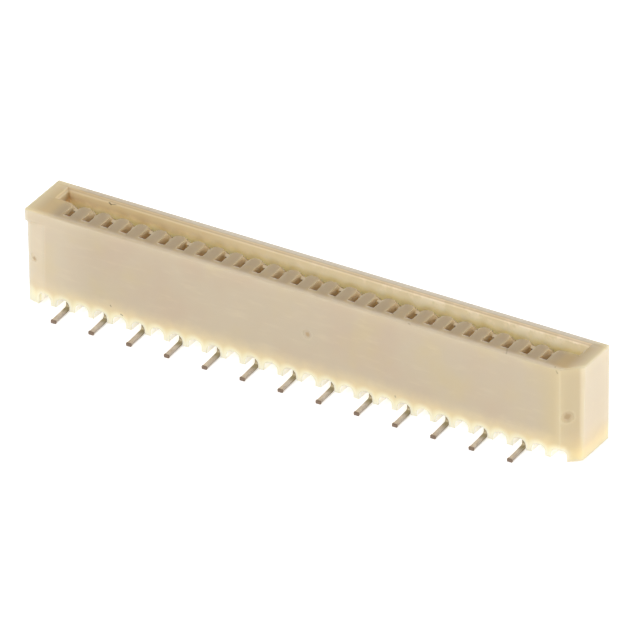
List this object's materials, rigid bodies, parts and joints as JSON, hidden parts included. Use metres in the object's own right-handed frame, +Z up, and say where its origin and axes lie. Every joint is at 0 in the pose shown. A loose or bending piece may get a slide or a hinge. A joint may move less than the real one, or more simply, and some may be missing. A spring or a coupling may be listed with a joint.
{
  "type": "flat flexible cable connector",
  "caption": "Upright surface-mount connector for a flat flexible cable: ivory moulded housing with a cable slot and spring contacts whose tails leave front and rear by turns.",
  "frame": {"origin": "middle of the row of contacts and of the housing's thickness, at the board plane that the tail tips rest on", "axes": "+X along the row towards the housing's cut corner, -Y the front that has the cut corner, +Z up out of the board, against the direction in which the cable is pushed in"},
  "size_m": [0.029, 0.0048, 0.005],
  "materials": {
    "housing_plastic": "moulded, satin",
    "contact_metal": "dull tin plating"
  },
  "bodies": {
    "root": {"housing": "housing_plastic", "contact_01": "contact_metal", "contact_02": "contact_metal", "contact_03": "contact_metal", "contact_04": "contact_metal", "contact_05": "contact_metal", "contact_06": "contact_metal", "contact_07": "contact_metal", "contact_08": "contact_metal", "contact_09": "contact_metal", "contact_10": "contact_metal", "contact_11": "contact_metal", "contact_12": "contact_metal", "contact_13": "contact_metal", "contact_14": "contact_metal", "contact_15": "contact_metal", "contact_16": "contact_metal", "contact_17": "contact_metal", "contact_18": "contact_metal", "contact_19": "contact_metal", "contact_20": "contact_metal", "contact_21": "contact_metal", "contact_22": "contact_metal", "contact_23": "contact_metal", "contact_24": "contact_metal", "contact_25": "contact_metal", "contact_26": "contact_metal"}
  },
  "joints": []
}
